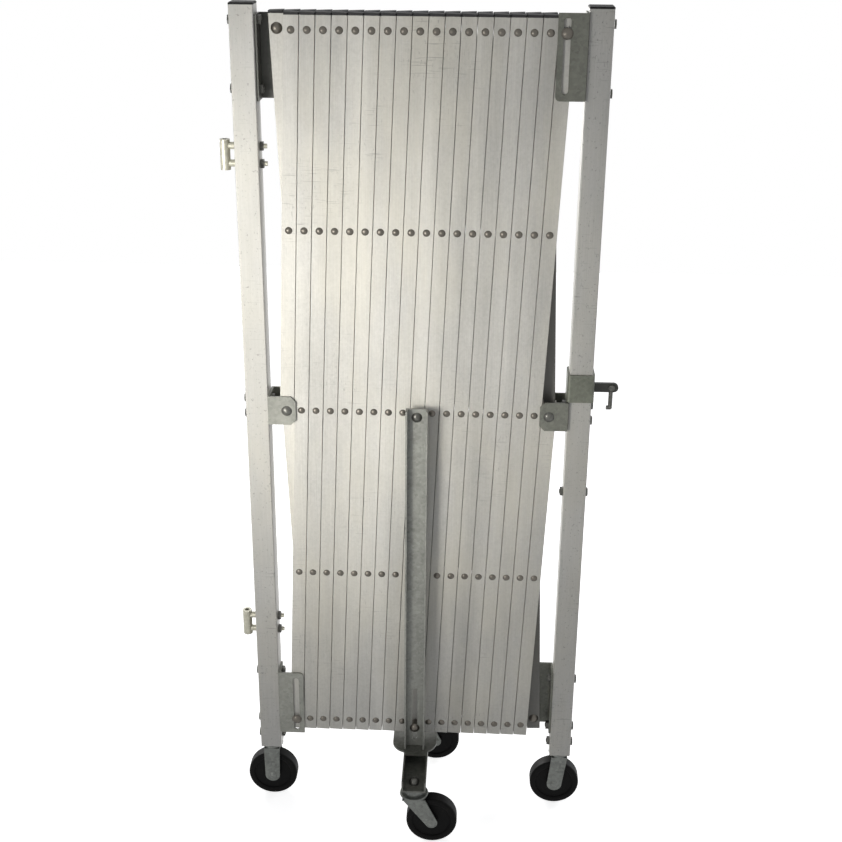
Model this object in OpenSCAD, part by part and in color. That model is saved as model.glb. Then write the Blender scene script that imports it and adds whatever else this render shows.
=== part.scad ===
// Expandable scissor gate of aluminum slats, folded, in millimetres.
// +Z is up, the floor is z = 0, y = 0 is the middle plane of the posts.
// x = 0 is the middle of the overall width.

/* [Lattice] */
// Number of bays between the posts
bays = 18; // [8:2:18]
// Spacing of the pivots along a row when folded
pitch = 20.3; // [19.8:0.1:24]
// Height from one row of pivots to the next when folded
row_rise = 257; // [220:1:280]
// Turn of each slat from folded to fully open, in degrees
open_angle = 27; // [15:1:27]
// Height of the bottom row above the lower end of the posts
row_above_post = 56; // [50:1:80]

/* [Slats] */
// Width of a slat
slat_w = 19.6; // [17:0.05:19.6]
// Depth of a slat's channel
slat_d = 16.6; // [12:0.1:18]
// Thickness of a slat's walls
slat_t = 1.5; // [1:0.1:2]
// Length of a slat beyond its last pivot
slat_tail = 18; // [14:1:20]
// Rounding of a slat's front edges
slat_edge = 0.6; // [0.4:0.1:1.4]
// Height of the plastic cap over a slat's upper end
cap_h = 3.6; // [1:0.1:6]
// Depth of the cap's plug inside the slat
cap_in = 6; // [3:0.5:7]
// Rounding of the cap's corners
cap_r = 1.5; // [0.5:0.1:3]
// Gap between the front and the rear layer
layer_gap = 1.6; // [0.8:0.1:2]

/* [Rivets and bolts] */
// Diameter of a rivet's shank
rivet_d = 4.8; // [4:0.1:5.6]
// Diameter of a rivet's head
rivet_head_d = 10; // [8:0.1:10.5]
// Height of a rivet's head
rivet_head_h = 2.6; // [1.4:0.1:3]
// Height of a rivet's formed tail
rivet_tail_h = 1.6; // [1:0.1:3]
// Diameter of the shoulders and spacers between the webs
spacer_d = 10; // [9:0.1:12]
// Diameter of the bolts
bolt_d = 6.35; // [5:0.05:7]
// Diameter of the domed bolt heads at the pivots
dome_d = 15; // [12:0.5:16]
// Height of the domed bolt heads
dome_h = 4; // [2.5:0.1:5]
// Width of a nut across its flats
nut_w = 11.1; // [9:0.1:12]
// Thickness of a nut
nut_h = 4.5; // [3:0.1:5]
// Height of a hexagon bolt head
bolt_head_h = 3.5; // [2.5:0.1:5]
// Length of a bolt beyond its nut
bolt_tip = 1; // [0.5:0.1:2]
// Play round a shank and beside a turning face
play = 0.15; // [0.1:0.01:0.25]
// Play between a bolt's shank and its nut
thread_play = 0.05; // [0.02:0.01:0.1]

/* [Posts] */
// Width of the square posts
post_w = 31.75; // [28:0.05:40]
// Wall of the posts
post_t = 2; // [1.2:0.1:3]
// Rounding of the posts' corners
post_r = 1.5; // [1:0.1:5]
// Height of the posts above the top row
post_over = 32; // [24:1:60]
// Distance from a post's inner face to its row of pivots
post_reach = 26.4; // [25.6:0.1:32]
// Depth of the plug in the top of a post
plug_h = 14; // [8:1:30]
// Height of the plug's head on the post's rim
plug_head_h = 2.6; // [1:0.1:5]
// Cut along the upper edge of the plug's head
plug_cut = 0.8; // [0.3:0.1:0.9]
// Gap between a plug and the inside of its post
plug_gap = 0.1; // [0.05:0.01:0.3]
// Cut of the plugs' upright corners beyond the post's inner rounding
plug_corner = 1; // [0.8:0.1:3]
// Depth of the socket in the lower end of a post
socket_h = 33; // [30:1:60]
// Height of the retaining bolt above the lower end of a post
retain_z = 17; // [16:0.5:24]
// Height of the spare bolt in the right post, measured from the middle row
spare_bolt_z = -122.7; // [-140:0.1:-60]

/* [Brackets] */
// Thickness of the brackets
plate_t = 3; // [2:0.1:3.4]
// Gap between a bracket and the face of a slat
plate_gap = 0.3; // [0.2:0.05:0.6]
// Reach of a slotted bracket from the post
slot_reach = 38; // [34:0.5:40]
// Width of the slots
slot_w = 9; // [7.2:0.1:10]
// Slot length to spare beyond the bolt at its shorter end
slot_spare = 6; // [3:0.5:8]
// Slot length to spare beyond the bolt at its longer end
slot_spare_long = 16; // [8:0.5:20]
// Plate left beyond the slot's end with the longer spare
slot_end = 5.5; // [4:0.5:10]
// Plate left beyond the slot's other end
slot_end_short = 8.5; // [4:0.5:12]
// Distance of the flange bolts from the plate's shorter end
flange_bolt_in = 7.5; // [6.5:0.5:12]
// Width of the flange on the post beyond the post's middle
flange_w = 12; // [9:0.5:14]
// Rounding of the plate's corner at the shorter end of its slot
plate_r = 6; // [3:0.5:9]
// Height of a U bracket
clevis_h = 42; // [36:0.5:60]
// Reach of a U bracket's ears from the post
clevis_reach = 39; // [36:0.5:40]
// Corner cut of a U bracket's ears
clevis_cut = 7; // [3:0.5:9]
// Distance of a U bracket's bolts from its middle
clevis_bolt_z = 11.5; // [9:0.5:13]

/* [Hinge sleeves] */
// Outer diameter of a sleeve
sleeve_d = 13.5; // [11:0.5:15]
// Diameter of a sleeve's bore
sleeve_bore_d = 7; // [5:0.5:8]
// Length of a sleeve
sleeve_h = 40; // [36:1:60]
// Distance of the sleeves from the middle row
sleeve_z = 353.5; // [330:0.5:380]
// Clear gap between sleeve and post
sleeve_gap = 8; // [4:0.5:12]
// Distance of the studs from a sleeve's middle
stud_z = 11.5; // [8:0.5:14]
// Diameter of a stud's collar outside the post
stud_collar_d = 9.5; // [8:0.1:10.5]
// Length of a stud beyond its nut
stud_tip = 4.5; // [1:0.5:5]

/* [Latch] */
// Height of the collar
collar_h = 40; // [30:1:50]
// Thickness of the collar
collar_t = 2.6; // [2:0.1:4]
// Gap between collar and post
collar_gap = 0.15; // [0.1:0.05:0.4]
// Gap between the collar and the U bracket under it
collar_over = 0.5; // [0.3:0.1:20]
// Reach of the arm beyond the post's outer face
arm_reach = 37.2; // [34:0.1:60]
// Height of the arm
arm_h = 13; // [10:0.5:18]
// Height of the arm above the collar's lower end
arm_up = 10.4; // [4:0.1:16]
// Thickness of the arm
arm_t = 5; // [4:0.5:8]
// Distance of the hook's pivot from the arm's end
hook_in = 9.3; // [7:0.1:14]
// Diameter of the hook's rod
hook_d = 6; // [4:0.5:6.5]
// Length of the hook below its pivot
hook_h = 35.5; // [25:0.5:60]
// Length of the hook's foot
hook_foot = 5.5; // [4:0.5:12]
// Gap between the hook and the arm
hook_gap = 0.4; // [0.2:0.1:1]
// Thickness of the hook's riveted head
hook_head_h = 1.5; // [1:0.1:3]
// Width of the hook's head beyond its rod
hook_head_over = 1.2; // [0.8:0.1:2]

/* [Center channel and foot] */
// Width of the channel
channel_w = 30.5; // [28:0.5:34]
// Depth of the channel
channel_d = 14; // [8:0.5:20]
// Thickness of the channel's walls
channel_t = 2.5; // [2:0.1:4]
// Gap between the channel and the rivets' heads
channel_gap = 11.3; // [0.5:0.1:16]
// Height of the channel above the middle row
channel_over = 12.5; // [10:0.1:30]
// Width of the channel's slot
channel_slot_w = 8; // [7.2:0.1:9]
// Slot length to spare above the bolt when the gate is open
channel_slot_up = 3; // [1:0.5:10]
// Slot length to spare below the bolt when the gate is folded
channel_slot_down = 17; // [5:0.5:18]
// Offset of the foot to the right of the channel's middle
foot_shift = 2.7; // [0:0.1:2.7]
// Width of the foot rail
rail_w = 36; // [36:0.5:44]
// Height of the foot rail
rail_h = 18; // [8:0.5:22]
// Thickness of the foot rail's walls
rail_t = 2.5; // [2:0.1:4]
// Length of the foot rail
rail_l = 243; // [236:1:260]
// Distance of the centre casters from the middle plane
swivel_y = 101.5; // [94:0.1:106]
// Thickness of the foot plate on the rail
foot_plate_t = 3; // [2:0.1:5]
// Width of the foot plate under the lattice
foot_plate_w = 67; // [48:1:90]
// Length of the foot plate
foot_plate_l = 86; // [76:1:100]
// Rounding of the foot plate's front corners
foot_plate_corner = 26; // [18:1:30]
// Length of the foot plate's narrow tip
foot_plate_tip = 6.3; // [2:0.1:10]
// Length of the foot plate in front of the channel
foot_plate_lip = 12; // [6:0.5:16]
// Diameter of the cap nuts in the foot rail
cap_nut_d = 15.5; // [12:0.5:20]
// Height of a cap nut's straight side
cap_nut_h = 3; // [2:0.5:6]
// Height of a cap nut's dome
cap_dome_h = 6.5; // [3:0.5:7]

/* [Casters] */
// Diameter of the wheels
wheel_d = 76.2; // [60:0.1:90]
// Width of the wheels
wheel_w = 22; // [16:0.5:26]
// Diameter of a wheel's hub
hub_d = 20; // [16:0.5:26]
// Height of the tread round a wheel
tread_h = 10; // [8:0.5:12]
// Rounding of the tread's edges
tread_r = 3.5; // [1:0.5:3.8]
// Depth of the hollow between hub and tread
dish = 2.5; // [1:0.5:5]
// Gap between a post caster's wheel and its crown
post_crown_gap = 9.3; // [3:0.1:14]
// Gap between a centre caster's wheel and its crown
foot_crown_gap = 0.7; // [0.5:0.1:6]
// Thickness of the forks
fork_t = 2.5; // [2:0.1:3]
// Height of the swivel head over a post caster's crown
post_head_h = 4.5; // [3:0.1:8]
// Diameter of a post caster's swivel head
post_head_d = 33; // [28:0.5:40]
// Width of a post caster's fork
post_fork_w = 24.5; // [22:0.5:34]
// Gap between a post caster's wheel and its fork
post_fork_gap = 1.5; // [0.5:0.1:3]
// Offset of the right post's wheel from the post's middle
right_trail = -6; // [-10:0.5:10]
// Diameter of a caster stem
stem_d = 10; // [8:0.5:11]
// Length of a caster stem above the post's lower end
stem_h = 12; // [6:0.5:12]
// Room above a caster stem in its socket
stem_over = 0.5; // [0.3:0.1:0.8]
// Height of the swivel head over a centre caster's crown
disc_h = 16.6; // [10:0.1:20]
// Diameter of a centre caster's swivel head
disc_d = 43; // [36:0.5:50]
// Thickness of the swivel head's rim
disc_rim = 4; // [2:0.1:6]
// Diameter of the swivel head's neck over its rim
disc_neck_d = 32; // [24:0.5:36]
// Width of a centre caster's fork at its crown
foot_fork_w = 34; // [26:0.5:36]
// Gap between a centre caster's wheel and its fork
foot_fork_gap = 2.5; // [1:0.1:4]
// Radius of a centre caster's fork round its axle
foot_fork_end = 9; // [7.5:0.5:12]
// Radius of a post caster's fork round its axle
post_fork_end = 11.5; // [8:0.5:12.5]
// Distance of a centre caster's wheel behind its swivel
foot_trail = 27; // [18:0.5:30]
// Running gap under the posts and under the foot rail
swivel_gap = 0.3; // [0.2:0.05:0.6]
// Diameter of the axles
axle_d = 8; // [6:0.5:10]
// Diameter of the axle heads
axle_head_d = 13; // [11:0.5:15]
// Height of the axle heads
axle_head_h = 3.5; // [2:0.1:4]
// Play between an axle and its fork
axle_play = 0.1; // [0.05:0.01:0.3]

/* [Hidden] */
$fn = 64;
hex = 6;
// Hairline between pieces that sit on each other, each a solid of its own
seat = 0.02;
lean = atan(pitch / 2 / row_rise);
link = sqrt(pow(pitch / 2, 2) + pow(row_rise, 2));
rows = 5;
axle_z = wheel_d / 2;
post_crown_z = wheel_d + post_crown_gap;
foot_crown_z = wheel_d + foot_crown_gap;
post_z = post_crown_z + fork_t + post_head_h + swivel_gap;
rail_z = foot_crown_z + fork_t + disc_h + swivel_gap;
rail_top = rail_z + rail_h;
channel_z = rail_top + foot_plate_t;
bottom_row_z = post_z + row_above_post;
mid_z = bottom_row_z + 2 * row_rise;
top_row_z = bottom_row_z + 4 * row_rise;
post_top = top_row_z + post_over;
post_h = post_top - plug_head_h - post_z;
lattice_w = bays * pitch;
post_x = post_reach + post_w / 2;
sleeve_x = post_reach + post_w + sleeve_gap + sleeve_d / 2;
arm_x = post_reach + post_w + arm_reach;
hook_x = arm_x - hook_in;
left_out = max(sleeve_x + sleeve_d / 2, post_x + wheel_d / 2);
right_out = max(arm_x, post_x + right_trail + wheel_d / 2);
left_x = (left_out - right_out - lattice_w) / 2;
right_x = left_x + lattice_w;
center_x = left_x + lattice_w / 2;
foot_x = center_x + foot_shift;
front_y = -layer_gap / 2 - slat_d;
rear_y = layer_gap / 2;
back_y = layer_gap / 2 + slat_d;
ear_y = back_y + plate_gap;
hole_r = rivet_d / 2 + play;
bolt_r = bolt_d / 2;
bolt_hole_r = bolt_r + play;
open_rise = 2 * link * cos(lean + open_angle);
travel = 2 * row_rise - open_rise;
slot_z = (2 * row_rise + open_rise) / 2;
slot_lo = travel / 2 + bolt_r + slot_spare;
slot_hi = travel / 2 + bolt_r + slot_spare_long;
plate_lo = slot_lo + slot_end_short;
plate_hi = slot_hi + slot_end;
flange_bolt_z = plate_lo - flange_bolt_in;
web_y = front_y - rivet_head_h - channel_gap;
channel_y = web_y - channel_t;
collar_in = post_w / 2 + collar_gap;
collar_z = clevis_h / 2 + collar_over;
arm_z = mid_z + collar_z + arm_up;
hook_z = arm_z + arm_h / 2;

// Heights of the bolts through a post, measured from the middle row
shared_bolts = [
    -slot_z - flange_bolt_z, -slot_z + flange_bolt_z,
    -clevis_bolt_z, clevis_bolt_z,
    slot_z - flange_bolt_z, slot_z + flange_bolt_z,
];
stud_bolts = [for (s = [-1, 1], t = [-1, 1]) s * sleeve_z + t * stud_z];
retain_bolt = post_z + retain_z - mid_z;

// Names of the slats in one layer, from the left post to the right
function slat_name(layer, m) =
    m < 0 ? str(layer, "_slat_left_half")
    : m > bays - 2 ? str(layer, "_slat_right_half")
    : str(layer, "_slat_", m < 10 ? "0" : "", m);

// Shared shapes

module round_rect(w, d, r) {
    square([w - 2 * r, d], center = true);
    square([w, d - 2 * r], center = true);
    for (x = [-1, 1], y = [-1, 1])
        translate([x * (w / 2 - r), y * (d / 2 - r)])
            circle(r);
}

// A plate in the x-z plane from y to y + t
module upright_plate(y, t) {
    translate([0, y + t, 0])
        rotate([90, 0, 0])
            linear_extrude(t)
                children();
}

// Low dome standing on z = 0
module dome(d, h) {
    s = (pow(d / 2, 2) + pow(h, 2)) / (2 * h);
    intersection() {
        translate([0, 0, h - s])
            sphere(s);
        cylinder(h = h, r = d / 2);
    }
}

// A rod along y from y0 to y1
module rod_y(y0, y1, r) {
    translate([0, y1, 0])
        rotate([90, 0, 0])
            cylinder(h = y1 - y0, r = r);
}

// A dome that faces the front, its flat side at y
module dome_front(y, d, h) {
    translate([0, y, 0])
        rotate([90, 0, 0])
            dome(d, h);
}

// A nut along y from y to y + nut_h, threaded on a bolt
module nut_y(y) {
    translate([0, y + nut_h, 0])
        rotate([90, 0, 0])
            difference() {
                cylinder(h = nut_h, d = nut_w / cos(30), $fn = hex);
                translate([0, 0, -1])
                    cylinder(h = nut_h + 2, r = bolt_r + thread_play);
            }
}

// A spacer tube along y
module spacer_y(y0, y1) {
    difference() {
        rod_y(y0, y1, spacer_d / 2);
        rod_y(y0 - 1, y1 + 1, bolt_hole_r);
    }
}

// Slats and their rivets

// Position of pivot column i (in pitches) in row k
module at_pivot(i, k) {
    translate([left_x + i * pitch, 0, bottom_row_z + k * row_rise])
        children();
}

function first_row(layer, m) =
    layer == "front" ? (m < 0 ? 2 : 0) : (m > bays - 2 ? 2 : 0);
function last_row(layer, m) =
    layer == "front" ? (m > bays - 2 ? 2 : 4) : (m < 0 ? 2 : 4);
function column(layer, m, k) =
    layer == "front" ? m + k / 2 : m + (rows - 1 - k) / 2;

// Pivots that carry a bolt and not a rivet
function bolted(i, k) =
    i <= 0 || i >= bays || (i == bays / 2 && (k == 2 || k == 0));

module slat_section() {
    difference() {
        union() {
            translate([0, (slat_d + slat_edge) / 2])
                square([slat_w, slat_d - slat_edge], center = true);
            translate([0, slat_edge / 2])
                square([slat_w - 2 * slat_edge, slat_edge], center = true);
            for (x = [-1, 1])
                translate([x * (slat_w / 2 - slat_edge), slat_edge])
                    circle(slat_edge);
        }
        translate([slat_t - slat_w / 2, slat_t])
            square([slat_w - 2 * slat_t, slat_d]);
    }
}

// Stands its children on a slat's line, their z from the bottom row's pivot
module on_slat(layer, m) {
    side = layer == "front" ? 1 : -1;
    y = layer == "front" ? front_y : rear_y;
    base = layer == "front" ? m : m + (rows - 1) / 2;
    translate([left_x + base * pitch, y, bottom_row_z])
        rotate([0, side * lean, 0])
            children();
}

module slat(layer, m) {
    lo = first_row(layer, m);
    hi = last_row(layer, m);
    on_slat(layer, m)
        difference() {
            translate([0, 0, lo * link - slat_tail])
                linear_extrude((hi - lo) * link + 2 * slat_tail)
                    slat_section();
            for (k = [lo:hi])
                translate([0, 0, k * link])
                    rod_y(-1, slat_t + 1, bolted(column(layer, m, k), k) ? bolt_hole_r : hole_r);
        }
}

// Plastic cap on the upper end of a slat that reaches the top row
module slat_cap(layer, m) {
    plug_w = slat_w - 2 * (slat_t + play);
    plug_d = slat_d - slat_t - 2 * play;
    if (last_row(layer, m) == rows - 1)
        color("#2b2b2b")
            on_slat(layer, m)
                translate([0, 0, (rows - 1) * link + slat_tail + seat]) {
                    linear_extrude(cap_h)
                        translate([0, slat_d / 2])
                            round_rect(slat_w, slat_d, cap_r);
                    translate([-plug_w / 2, slat_t + play, -cap_in])
                        cube([plug_w, plug_d, cap_in]);
                }
}

// Head in front of the front web, shoulder between the webs, tail formed behind the rear web
module rivet() {
    tail_y = rear_y + slat_t + play;
    dome_front(front_y - seat, rivet_head_d, rivet_head_h);
    rod_y(front_y - seat, tail_y, rivet_d / 2);
    rod_y(front_y + slat_t + seat, rear_y - play, spacer_d / 2);
    rod_y(tail_y, tail_y + rivet_tail_h, rivet_head_d / 2);
}

// Bolt of the bottom row through the slot of the centre channel
module foot_slot_bolt() {
    nut_at = rear_y + slat_t + play;
    dome_front(channel_y - play, dome_d, dome_h);
    rod_y(channel_y - play, nut_at + nut_h + bolt_tip, bolt_r);
    spacer_y(web_y + play, front_y - seat);
    spacer_y(front_y + slat_t + seat, rear_y - play);
    nut_y(nut_at);
}

// Bolt of a front slat through the slotted bracket in front of it
module front_slot_bolt() {
    y = -ear_y - plate_t - plate_gap;
    dome_front(y, dome_d, dome_h);
    rod_y(y, front_y + slat_t + nut_h + bolt_tip, bolt_r);
    nut_y(front_y + slat_t + seat);
}

// Bolt of a rear slat through the slotted bracket behind it
module rear_slot_bolt() {
    y = ear_y + plate_t + plate_gap;
    dome_front(rear_y - seat, dome_d, dome_h);
    rod_y(rear_y - seat, y + nut_h + bolt_tip, bolt_r);
    spacer_y(rear_y + slat_t + seat, back_y);
    nut_y(y);
}

module front_slat(m) {
    slat_cap("front", m);
    color("#d6d4cc") {
        slat("front", m);
        for (k = [first_row("front", m):last_row("front", m)]) {
            i = column("front", m, k);
            if (!bolted(i, k))
                at_pivot(i, k)
                    rivet();
            else if (i == bays / 2 && k == 0)
                at_pivot(i, k)
                    foot_slot_bolt();
            else if (k == 0 || k == 4)
                at_pivot(i, k)
                    front_slot_bolt();
        }
    }
}

module rear_slat(m) {
    slat_cap("rear", m);
    color("#c2c0b8") {
        slat("rear", m);
        if (m == 0)
            at_pivot(0, 4)
                rear_slot_bolt();
        if (m == bays - 2)
            at_pivot(bays, 0)
                rear_slot_bolt();
    }
}

// Posts

module bolt_hole_x(z, d = 2 * bolt_hole_r) {
    translate([-post_w, 0, z])
        rotate([0, 90, 0])
            cylinder(h = 2 * post_w, d = d);
}

module post_tube(bolts) {
    difference() {
        translate([0, 0, post_z])
            linear_extrude(post_h)
                round_rect(post_w, post_w, post_r);
        translate([0, 0, post_z - 1])
            linear_extrude(post_h + 2)
                round_rect(post_w - 2 * post_t, post_w - 2 * post_t, post_r / 2);
        for (z = bolts)
            bolt_hole_x(mid_z + z);
    }
}

module left_post() {
    color("#cfcdc5")
        translate([left_x - post_x, 0, 0])
            post_tube(concat(shared_bolts, stud_bolts, [retain_bolt]));
}

module right_post() {
    color("#cfcdc5")
        translate([right_x + post_x, 0, 0])
            post_tube(concat(shared_bolts, [spare_bolt_z, retain_bolt]));
}

// Square insert with cut corners that fits inside a post
module insert_shape() {
    w = post_w / 2 - post_t - plug_gap;
    c = post_r / 2 + plug_corner;
    polygon([
        [w, c - w], [w, w - c], [w - c, w], [c - w, w],
        [-w, w - c], [-w, c - w], [c - w, -w], [w - c, -w],
    ]);
}

module post_plugs() {
    translate([0, 0, post_top - plug_head_h]) {
        linear_extrude(plug_head_h - plug_cut)
            round_rect(post_w, post_w, post_r);
        linear_extrude(plug_head_h)
            round_rect(post_w - 2 * plug_cut, post_w - 2 * plug_cut, post_r);
    }
    translate([0, 0, post_top - plug_head_h - plug_h])
        linear_extrude(plug_h)
            insert_shape();
    difference() {
        translate([0, 0, post_z])
            linear_extrude(socket_h)
                insert_shape();
        translate([0, 0, post_z - 1])
            cylinder(h = stem_h + stem_over + 1, d = stem_d + 2 * play);
        bolt_hole_x(post_z + retain_z);
    }
}

module left_plugs() {
    color("#2b2b2b")
        translate([left_x - post_x, 0, 0])
            post_plugs();
}

module right_plugs() {
    color("#2b2b2b")
        translate([right_x + post_x, 0, 0])
            post_plugs();
}

// Turns the left side's fittings half round the lattice's middle for the right side
module to_right() {
    translate([center_x, 0, mid_z])
        rotate([0, 180, 0])
            translate([-center_x, 0, -mid_z])
                children();
}

// Brackets

// Slotted angle bracket, drawn from the post's inner face, with its longer end down
module slotted_bracket() {
    difference() {
        union() {
            upright_plate(-ear_y - plate_t, plate_t) {
                translate([0, -plate_hi])
                    square([slot_reach, plate_lo + plate_hi - plate_r]);
                translate([0, plate_lo - plate_r])
                    square([slot_reach - plate_r, plate_r]);
                translate([slot_reach - plate_r, plate_lo - plate_r])
                    circle(plate_r);
            }
            translate([0, -ear_y - plate_t, -plate_hi])
                cube([plate_t, ear_y + plate_t + flange_w, plate_lo + plate_hi]);
        }
        translate([post_reach, -ear_y - plate_t / 2, 0]) {
            for (z = [slot_w / 2 - slot_hi, slot_lo - slot_w / 2])
                translate([0, 0, z])
                    rod_y(-plate_t, plate_t, slot_w / 2);
            translate([-slot_w / 2, -plate_t, slot_w / 2 - slot_hi])
                cube([slot_w, 2 * plate_t, slot_lo + slot_hi - slot_w]);
        }
        for (z = [-1, 1])
            bolt_hole_x(z * flange_bolt_z);
    }
}

module ear_shape() {
    h = clevis_h / 2;
    polygon([
        [0, -h], [clevis_reach - clevis_cut, -h],
        [clevis_reach, clevis_cut - h], [clevis_reach, h - clevis_cut],
        [clevis_reach - clevis_cut, h], [0, h],
    ]);
}

// U bracket for the middle pivot, drawn from the post's inner face
module u_bracket() {
    difference() {
        union() {
            upright_plate(-ear_y - plate_t, plate_t)
                ear_shape();
            upright_plate(ear_y, plate_t)
                ear_shape();
            translate([0, -ear_y - plate_t, -clevis_h / 2])
                cube([plate_t, 2 * (ear_y + plate_t), clevis_h]);
        }
        translate([post_reach, 0, 0])
            rod_y(-2 * ear_y, 2 * ear_y, bolt_hole_r);
        for (z = [-1, 1])
            bolt_hole_x(z * clevis_bolt_z);
    }
}

module left_brackets() {
    color("#b4b5ab")
        translate([left_x - post_reach, 0, mid_z]) {
            translate([0, 0, -slot_z])
                slotted_bracket();
            translate([0, 0, slot_z])
                mirror([0, 1, 0])
                    slotted_bracket();
            u_bracket();
        }
}

module right_brackets() {
    to_right()
        left_brackets();
}

// Bolts through the posts

// A bolt along x from the post's outer face, with its nut inside, drawn from the outer face
module post_bolt(grip) {
    translate([-bolt_head_h, 0, 0])
        rotate([90, 0, 90])
            cylinder(h = bolt_head_h, d = nut_w / cos(30), $fn = hex);
    rotate([0, 90, 0])
        cylinder(h = post_w + grip + nut_h + bolt_tip, r = bolt_r);
    translate([post_w + grip, 0, 0])
        nut_x();
}

// A nut along x from x = 0
module nut_x() {
    rotate([90, 0, 90])
        difference() {
            cylinder(h = nut_h, d = nut_w / cos(30), $fn = hex);
            translate([0, 0, -1])
                cylinder(h = nut_h + 2, r = bolt_r + thread_play);
        }
}

// Pivot bolt of the U bracket, with spacers between the webs
module pivot_bolt() {
    y = ear_y + plate_t;
    dome_front(-y, dome_d, dome_h);
    rod_y(-y, y + nut_h + bolt_tip, bolt_r);
    spacer_y(front_y + slat_t + play, rear_y - play);
    spacer_y(rear_y + slat_t + play, ear_y);
    nut_y(y);
}

module left_post_bolts() {
    translate([left_x - post_reach - post_w, 0, mid_z]) {
        for (z = shared_bolts)
            translate([0, 0, z])
                post_bolt(plate_t);
    }
    at_pivot(0, 2)
        pivot_bolt();
}

module retaining_bolt() {
    translate([0, 0, mid_z + retain_bolt])
        post_bolt(0);
}

module left_fasteners() {
    color("#a9aaa6") {
        left_post_bolts();
        translate([left_x - post_reach - post_w, 0, 0])
            retaining_bolt();
        for (z = stud_bolts)
            translate([left_x - post_reach, 0, mid_z + z])
                nut_x();
    }
}

module right_fasteners() {
    color("#a9aaa6") {
        to_right()
            left_post_bolts();
        translate([right_x + post_reach + post_w, 0, 0])
            mirror([1, 0, 0]) {
                retaining_bolt();
                translate([0, 0, mid_z + spare_bolt_z])
                    post_bolt(0);
            }
    }
}

// Hinge sleeves with their studs, welded

module hinge_sleeve() {
    post_face = sleeve_d / 2 + sleeve_gap;
    difference() {
        union() {
            translate([0, 0, -sleeve_h / 2])
                cylinder(h = sleeve_h, d = sleeve_d);
            for (z = [-1, 1])
                translate([0, 0, z * stud_z])
                    rotate([0, 90, 0]) {
                        cylinder(h = post_face, d = stud_collar_d);
                        cylinder(h = post_face + post_w + nut_h + stud_tip, r = bolt_r);
                    }
        }
        translate([0, 0, -sleeve_h])
            cylinder(h = 2 * sleeve_h, d = sleeve_bore_d);
    }
}

module hinge_sleeves() {
    color("#b9bab2")
        for (z = [-1, 1])
            translate([left_x - sleeve_x, 0, mid_z + z * sleeve_z])
                hinge_sleeve();
}

// Latch

module latch_collar() {
    color("#c4c4bc") {
        difference() {
            union() {
                translate([right_x + post_x, 0, mid_z + collar_z])
                    linear_extrude(collar_h)
                        difference() {
                            round_rect(2 * (collar_in + collar_t), 2 * (collar_in + collar_t), post_r + collar_t);
                            round_rect(2 * collar_in, 2 * collar_in, post_r);
                        }
                upright_plate(-arm_t / 2, arm_t) {
                    translate([right_x + post_x + collar_in + collar_t / 2, arm_z])
                        square([arm_x - post_x - collar_in - collar_t / 2 - arm_h / 2, arm_h]);
                    translate([right_x + arm_x - arm_h / 2, hook_z])
                        circle(arm_h / 2);
                }
            }
            translate([right_x + hook_x, 0, hook_z])
                rod_y(-arm_t, arm_t, hook_d / 2 + play);
        }
    }
}

// Bent rod that hangs behind the arm, its head in front
module latch_hook() {
    face = arm_t / 2 + hook_gap;
    y = face + hook_d / 2;
    color("#9fa09b")
        translate([right_x + hook_x, 0, hook_z]) {
            rod_y(-face, y, hook_d / 2);
            rod_y(-face - hook_head_h, -face, hook_d / 2 + hook_head_over);
            translate([0, y, 0])
                sphere(hook_d / 2);
            translate([0, y, hook_d / 2 - hook_h])
                cylinder(h = hook_h - hook_d / 2, d = hook_d);
            translate([0, y, hook_d / 2 - hook_h])
                sphere(hook_d / 2);
            translate([0, y, hook_d / 2 - hook_h])
                rotate([0, -90, 0])
                    cylinder(h = hook_foot, d = hook_d);
        }
}

// Centre channel, foot and bolts

module center_channel() {
    z0 = mid_z - open_rise + bolt_r + channel_slot_up - channel_slot_w / 2;
    z1 = bottom_row_z - bolt_r - channel_slot_down + channel_slot_w / 2;
    color("#d0cfc8")
        translate([center_x, 0, 0])
            difference() {
                translate([-channel_w / 2, web_y - channel_d, channel_z])
                    cube([channel_w, channel_d, mid_z + channel_over - channel_z]);
                translate([channel_t - channel_w / 2, web_y - channel_t - channel_d, channel_z - 1])
                    cube([channel_w - 2 * channel_t, channel_d, mid_z + channel_over - channel_z + 2]);
                translate([0, 0, mid_z])
                    rod_y(channel_y - 1, web_y + 1, bolt_hole_r);
                for (z = [z0, z1])
                    translate([0, 0, z])
                        rod_y(channel_y - 1, web_y + 1, channel_slot_w / 2);
                translate([-channel_slot_w / 2, channel_y - 1, z1])
                    cube([channel_slot_w, channel_t + 2, z0 - z1]);
            }
}

// Outline of the foot plate, with a tip as wide as the rail and round front corners
module foot_plate() {
    tip_y = web_y - channel_d - foot_plate_lip;
    corner_y = tip_y + foot_plate_tip + foot_plate_corner;
    translate([-rail_w / 2, tip_y])
        square([rail_w, foot_plate_l]);
    translate([-foot_shift - foot_plate_w / 2, corner_y])
        square([foot_plate_w, tip_y + foot_plate_l - corner_y]);
    for (side = [-1, 1])
        translate([side * (foot_plate_w / 2 - foot_plate_corner) - foot_shift, corner_y])
            circle(foot_plate_corner);
}

// Rail open to the top, with the foot plate welded on its edges
module center_foot() {
    color("#adaea5")
        translate([foot_x, 0, 0]) {
            difference() {
                translate([-rail_w / 2, -rail_l / 2, rail_z])
                    cube([rail_w, rail_l, rail_h]);
                translate([rail_t - rail_w / 2, -rail_l, rail_z + rail_t])
                    cube([rail_w - 2 * rail_t, 2 * rail_l, rail_h]);
                for (y = [-1, 1])
                    translate([0, y * swivel_y, rail_z - 1])
                        cylinder(h = rail_t + 2, r = bolt_hole_r);
            }
            translate([0, 0, rail_top])
                linear_extrude(foot_plate_t)
                    foot_plate();
        }
}

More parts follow.
